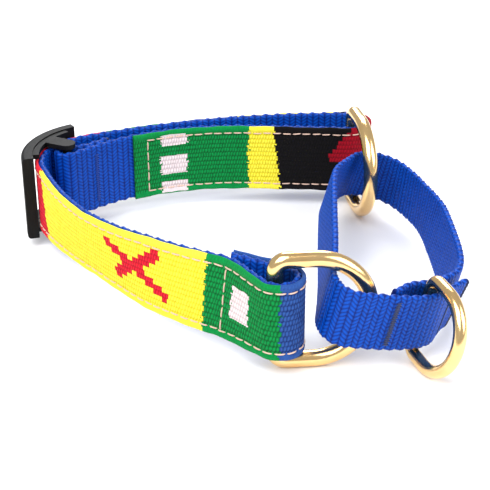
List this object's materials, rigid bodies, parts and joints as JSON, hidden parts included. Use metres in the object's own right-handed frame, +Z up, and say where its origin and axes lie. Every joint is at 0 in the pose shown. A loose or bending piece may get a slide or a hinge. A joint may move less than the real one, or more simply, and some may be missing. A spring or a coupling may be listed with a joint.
{
  "type": "martingale collar",
  "caption": "Martingale collar: ribbon-faced webbing strap with a slider and two D-rings, joined by a webbing control loop that carries the leash ring.",
  "frame": {"origin": "bottom centre of the whole collar's bounding box", "axes": "+Z up as the collar stands on its edge, +X from the slider towards the control loop, +Y from the leash ring side to the far side"},
  "size_m": [0.1458, 0.146, 0.038],
  "materials": {
    "blue_webbing": "woven",
    "woven_ribbon": "woven",
    "cream_thread": "thread",
    "blue_thread": "thread",
    "navy_thread": "thread",
    "black_plastic": "satin",
    "brass": "polished"
  },
  "bodies": {
    "strap": {"main_webbing": "blue_webbing", "woven_ribbon": "woven_ribbon", "edge_stitch_upper": "cream_thread", "edge_stitch_lower": "cream_thread", "front_cross_stitch": "cream_thread", "return_cross_stitch": "cream_thread", "anchor_tack": "blue_thread"},
    "slider": {"slider": "black_plastic"},
    "front_ring": {"front_ring": "brass"},
    "back_ring": {"back_ring": "brass"},
    "control_loop": {"control_loop": "blue_webbing", "loop_tack_left": "navy_thread", "loop_tack_right": "navy_thread"},
    "leash_ring": {"leash_ring": "brass"}
  },
  "joints": [
    {"name": "front_ring_swing", "type": "hinge", "parent": "strap", "child": "front_ring", "pos_m": [0.01242, -0.05789, 0.019], "axis": [0, 0, 1], "range_deg": [0, 5]},
    {"name": "back_ring_swing", "type": "hinge", "parent": "strap", "child": "back_ring", "pos_m": [0.04332, 0.06041, 0.019], "axis": [0, 0, 1], "range_deg": [-6, 6]},
    {"name": "slider_shift", "type": "hinge", "parent": "strap", "child": "slider", "pos_m": [-0.0442, 0.02804, 0.0186], "axis": [0, 0, 1], "range_deg": [-3, 3]},
    {"name": "control_loop_draw", "type": "slide", "parent": "strap", "child": "control_loop", "axis": [0, 1, 0], "range_m": [0, 0.0015]},
    {"name": "leash_ring_swing", "type": "hinge", "parent": "control_loop", "child": "leash_ring", "pos_m": [0.05605, -0.05219, 0.01473], "axis": [0.2419, 0, 0.9703], "range_deg": [-50, 70]}
  ]
}
